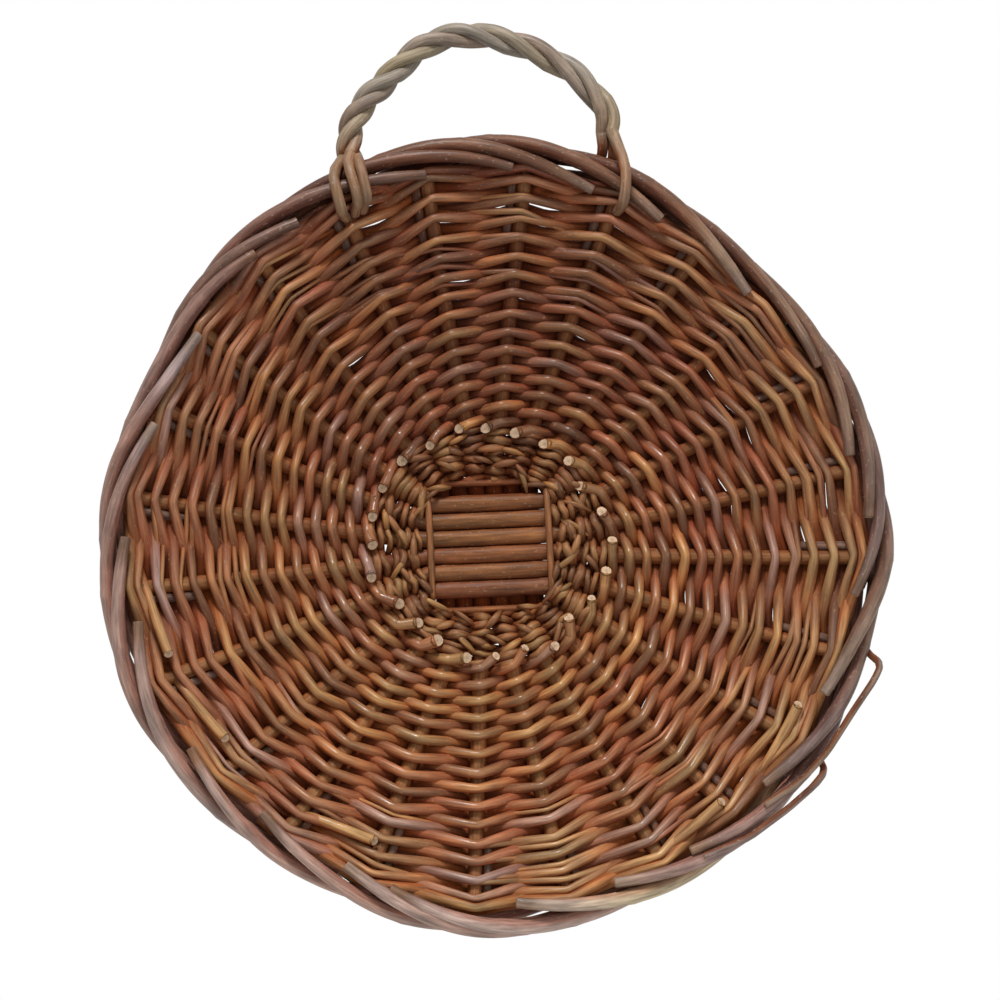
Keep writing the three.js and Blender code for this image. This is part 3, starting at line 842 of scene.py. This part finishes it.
# The bark is brown at the top, dark mauve at the right, pale mauve below and grey at the upper left: the
# hues are the bark's own, and its being darker at the top and paler below is partly painted light from
# above
BORDER_COLOURS = [
    (GREY_BROWN, TOP_BROWN), (GREY_BROWN, MAUVE_DARK), (MAUVE_DARK, GREY_BROWN), (MAUVE_DARK, MAUVE),
    (MAUVE_GREY, MAUVE), (MAUVE, MAUVE_GREY), (MAUVE_GREY, MAUVE), (MAUVE, MAUVE_GREY),
    (MAUVE, MAUVE_GREY), (GREY_BROWN, MAUVE), (TOP_BROWN, DARK_BROWN), (DARK_BROWN, TOP_BROWN),
]
PEELED_STAKE = 8
TOP_STAKE = 19  # from this one on they end at the top, where the border is broader


def stake_path(spoke):
    path = []
    radius = BORDER_RADIUS * chance.uniform(*STAKE_SIZE_RANGE)
    proud = PROUD_STAKES.get(spoke, chance.uniform(*STAKE_PROUD_RANGE))
    for distance in (LEG_START, LEG_MIDDLE, LEG_TOP):
        angle = spoke_angle(spoke, distance) - LEG_OFFSET / distance
        path.append(thick(on_dish(angle, distance, 0), LEG_RADIUS))
    base = spoke_angle(spoke, RIM_RADIUS) - LEG_OFFSET / RIM_RADIUS
    path.append(thick(on_dish(base, LEG_TURN, -LEG_TURN_DEPTH * ROLL_RADIUS), LEG_RADIUS))
    lead = STAKE_LEAD / RIM_RADIUS
    sweep = (ROLL_SPACES + chance.uniform(*ROLL_SPACES_RANGE)) * SPOKE_STEP
    last_roll = chance.uniform(*LAST_ROLL_RANGE)
    if spoke >= TOP_STAKE:
        last_roll += TOP_ROLL
    for step in range(ROLL_STEPS + 1):
        share = step / ROLL_STEPS
        roll = math.radians(between(FIRST_ROLL, last_roll, share))
        distance = RIM_RADIUS + ROLL_RADIUS * math.cos(roll)
        distance += proud * clamped(share / PROUD_RISE) * clamped(1 - (share - PROUD_HOLD) / PROUD_FADE)
        width = between(LEG_RADIUS, radius, clamped(share * THICKENING))
        width *= between(1, TAPER, clamped((share - TAPER_START) / (1 - TAPER_START)))
        place = on_dish(base + lead + share * sweep, distance, ROLL_RADIUS * math.sin(roll))
        path.append(thick(place, width))
    return rounded(path, share=0.2)


for spoke in range(SPOKES):
    first = spoke - spoke % 2 + 1
    colours = (PALE_OLIVE, MAUVE_GREY) if spoke == PEELED_STAKE else BORDER_COLOURS[spoke // 2]
    grow_rod(f"border_stake_{spoke + 1:02d}", stake_path(spoke), colours, BORDER_BARK,
             [f"border_stakes_{first}_{first + 1}"], sides=12, ends=STAKE_SHADED_ENDS, recess_shades=BORDER_PAINTED_SHADE)

# Loose rods: two thin ones that kink out from behind the border at the lower right and run along it
LOOSE_RODS = [  # degrees from the top, distance from the axis, lift
    [(105, 0.186, -0.009), (108, 0.196, -0.006), (109.2, 0.205, -0.001), (111.6, 0.2045, 0.001),
     (117, 0.2, 0.002), (124, 0.1985, 0.003), (130, 0.197, 0.005), (136, 0.193, 0.008)],
    [(122.5, 0.187, -0.009), (125.2, 0.195, -0.005), (126.4, 0.2015, -0.001), (129, 0.202, 0.001),
     (134, 0.2, 0.002), (141, 0.198, 0.004), (148, 0.194, 0.008)],
]
for index, route in enumerate(LOOSE_RODS):
    path = []
    for degrees, distance, lift in route:
        path.append(thick(on_dish(math.radians(degrees) - BASE_TURN, distance, lift), LOOSE_RADIUS))
    grow_rod(f"loose_border_rod_{index + 1}", rounded(path, 3, longest=LOOSE_BEND),
             (MAUVE_DARK, GREY_BROWN), BORDER_BARK)

# Handle: three rods twisted together, with their feet over and behind the border
HANDLE_LINE = [  # across, and above the top of the border, in millimetres
    (-75, -9), (-76, -1), (-74, 9), (-67, 20.5), (-57, 30.5), (-47, 41.5), (-35, 51.5), (-17, 56),
    (0, 54), (14, 50), (28, 43.5), (41, 35), (51, 24), (56.5, 14), (56.5, 6),
]
# Degrees from the top where each foot crosses the border and where it ends, and how far it bows between
LEFT_FEET = [(-25.4, -26, -1), (-22.9, -24.4, 0), (-21.2, -23, 0)]
RIGHT_FEET = [(19, 20.3, 1), (15.4, 15.6, 0), (17.1, 17.4, 0)]
RIGHT_SIDES = [1, -1, -1]  # in front of the border or behind it
FOOT_PROUD = ROLL_RADIUS + BORDER_RADIUS + TAIL_RADIUS
FOOT_STOPS = [  # distance from the axis, and lift
    (LEG_TOP, 0.004),
    (LEG_END + 0.006, 0.0095),
    (RIM_RADIUS - 0.002, FOOT_PROUD),
    (RIM_RADIUS + 0.006, FOOT_PROUD * 0.95),
    (BORDER_TOP + 0.001, ROLL_RADIUS * 0.8),
]
HANDLE_COLOURS = [(PALE_GREY, HANDLE_OLIVE), (PALE_GREY, GREY_OLIVE), (PALE_GREY, GREY_BROWN)]


def handle_points():
    """The handle's middle line as many short steps, and the length of line up to each."""
    points = []
    for across, above in HANDLE_LINE:
        points.append(Vector((across * MILLIMETRE, 0, BORDER_TOP + above * MILLIMETRE + DISH_MIDDLE_Z)))
    points = rounded(points, 4)
    lengths = [0]
    for first, second in zip(points, points[1:]):
        lengths.append(lengths[-1] + (second - first).length)
    return points, lengths


def foot_path(crossing, end, bow, side):
    """From the weave up to the handle, in front of the border or behind it."""
    path = []
    for i, (distance, lift) in enumerate(FOOT_STOPS):
        share = i / (len(FOOT_STOPS) - 1)
        degrees = between(end, crossing, share) + bow * math.sin(math.pi * share)
        path.append(thick(on_dish(math.radians(degrees) - BASE_TURN, distance, side * lift), TAIL_RADIUS))
    return path


def handle_path(strand):
    points, lengths = handle_points()
    turns = [0]
    for before, after in zip(lengths, lengths[1:]):
        turns.append(turns[-1] + (after - before) / between(TIGHT_LAY, LONG_LAY, after / lengths[-1]))
    path = foot_path(*LEFT_FEET[strand], 1)
    for i in range(len(points)):
        phase = 2 * math.pi * (FIRST_PHASE + HANDLE_TURNS * turns[i] / turns[-1] + strand / HANDLE_RODS)
        heading = (points[min(i + 1, len(points) - 1)] - points[max(i - 1, 0)]).normalized()
        outward = Vector((-heading.z, 0, heading.x))
        aside = outward * math.cos(phase) + VIEWER * math.sin(phase)
        path.append(thick(points[i] + aside * TWIST_RADIUS, HANDLE_RADIUS))
    path += foot_path(*RIGHT_FEET[strand], RIGHT_SIDES[strand])[::-1]
    return rounded(path, 1)


for strand in range(HANDLE_RODS):
    name = f"handle_rod_{strand + 1}"
    grow_rod(f"{name}_willow", handle_path(strand), HANDLE_COLOURS[strand], HANDLE_BARK, [name],
             sides=12, ends=HANDLE_ENDS, gets_painted_light_fall=False)

# Pieced ends: thick rods that were added in the outer weave, with their cut ends to the front
PIECED_ENDS = [  # degrees from the top, and distance from the axis
    (249.2, 0.1755), (232.6, 0.172), (201.8, 0.168), (140.6, 0.178), (120, 0.177),
]
PIECED_STEPS = [  # degrees along, climb, lift and radius
    (0, 0, 0.0086, 0.0027), (5, 0.0008, 0.0072, 0.0026),
    (10, 0.0015, 0.0034, 0.0025), (16, 0.003, -0.004, 0.0022),
]
for index, (degrees, distance) in enumerate(PIECED_ENDS):
    path = []
    for turn, climb, lift, radius in PIECED_STEPS:
        angle = math.radians(degrees + turn) - BASE_TURN
        path.append(thick(on_dish(angle, distance + climb, lift), radius))
    heading = (path[0] - path[1]).to_3d().normalized()
    grow_rod(f"pieced_end_{index + 1}", rounded(path, 3), (OCHRE, BROWN), WEAVER_BARK,
             first_cut=-(heading + VIEWER * PIECED_CUT).normalized())

# Floor, light and camera
floor_shape = bmesh.new()
bmesh.ops.create_grid(floor_shape, x_segments=1, y_segments=1, size=FLOOR_HALF)
bmesh.ops.translate(floor_shape, verts=floor_shape.verts, vec=(0, 0, FLOOR_Z))
floor_mesh = bpy.data.meshes.new("floor")
floor_shape.to_mesh(floor_mesh)
floor_shape.free()
floor = bpy.data.objects.new("floor", floor_mesh)
bpy.context.scene.collection.objects.link(floor)


def camera_white(nodes, links, share=None):
    """How much white the camera, gloss and glass see: all of it, or a share if one is given."""
    path = nodes.new("ShaderNodeLightPath")
    seen = path.outputs["Is Camera Ray"]
    for kind in ("Is Glossy Ray", "Is Transmission Ray"):
        either = nodes.new("ShaderNodeMath")
        either.operation = "MAXIMUM"
        links.new(seen, either.inputs[0])
        links.new(path.outputs[kind], either.inputs[1])
        seen = either.outputs["Value"]
    if share is None:
        return seen
    part = nodes.new("ShaderNodeMath")
    part.operation = "MULTIPLY"
    links.new(seen, part.inputs[0])
    links.new(share, part.inputs[1])
    return part.outputs["Value"]


def over_white(nodes, links, plain, white, share, out):
    """A plain surface or sky that gives way to white by a share."""
    white.inputs["Color"].default_value = WHITE
    white.inputs["Strength"].default_value = 1
    mix = nodes.new("ShaderNodeMixShader")
    links.new(share, mix.inputs["Fac"])
    links.new(plain, mix.inputs[1])
    links.new(white.outputs[0], mix.inputs[2])
    links.new(mix.outputs["Shader"], out)


def pale_floor():
    """A pale floor that keeps the basket's shadow and turns white further out."""
    material, nodes, links, shader = new_material("pale_floor")
    shader.inputs["Base Color"].default_value = FLOOR_COLOUR
    shader.inputs["Roughness"].default_value = FLOOR_ROUGHNESS
    place = nodes.new("ShaderNodeTexCoord").outputs["Object"]
    reach = nodes.new("ShaderNodeVectorMath")
    reach.operation = "LENGTH"
    links.new(place, reach.inputs[0])
    far = ranged(nodes, links, reach.outputs["Value"], FLOOR_WHITE_SPAN, (0, 1))
    share = camera_white(nodes, links, far)
    out = nodes["Material Output"].inputs["Surface"]
    over_white(nodes, links, shader.outputs["BSDF"], nodes.new("ShaderNodeEmission"), share, out)
    return material


floor_mesh.materials.append(pale_floor())

world = bpy.data.worlds.new("studio")
world.use_nodes = True
bpy.context.scene.world = world
world_nodes = world.node_tree.nodes
world_links = world.node_tree.links
sky = world_nodes["Background"]
sky.inputs["Color"].default_value = SKY_COLOUR
sky.inputs["Strength"].default_value = SKY_STRENGTH
over_white(world_nodes, world_links, sky.outputs["Background"], world_nodes.new("ShaderNodeBackground"),
           camera_white(world_nodes, world_links), world_nodes["World Output"].inputs["Surface"])


def area_light(name, place, target, size, power):
    lamp = bpy.data.lights.new(name, "AREA")
    lamp.size = size
    lamp.energy = power
    light = bpy.data.objects.new(name, lamp)
    light.location = place
    light.rotation_mode = "QUATERNION"
    light.rotation_quaternion = (Vector(target) - Vector(place)).to_track_quat("-Z", "Y")
    bpy.context.scene.collection.objects.link(light)


area_light("key_light", (-0.3, -1.0, 1.3), BASKET_MIDDLE, size=0.4, power=35)
area_light("fill_light", (0.9, -1.3, 0.1), BASKET_MIDDLE, size=1.0, power=5)

aim = Vector((AIM_ACROSS, 0, DISH_MIDDLE_Z + AIM_UP))
away = Vector((
    -math.sin(VIEW_LEFT) * math.cos(VIEW_BELOW),
    -math.cos(VIEW_LEFT) * math.cos(VIEW_BELOW),
    -math.sin(VIEW_BELOW),
))
lens = bpy.data.cameras.new("camera")
lens.sensor_width = 36
lens.lens = lens.sensor_width * VIEW_DISTANCE / VIEW_WIDTH
lens.clip_start = 0.01
lens.clip_end = 50
camera = bpy.data.objects.new("camera", lens)
camera.location = aim + away * VIEW_DISTANCE
camera.rotation_mode = "QUATERNION"
camera.rotation_quaternion = (-away).to_track_quat("-Z", "Y")
bpy.context.scene.collection.objects.link(camera)
bpy.context.scene.camera = camera
bpy.context.scene.view_settings.view_transform = "Standard"
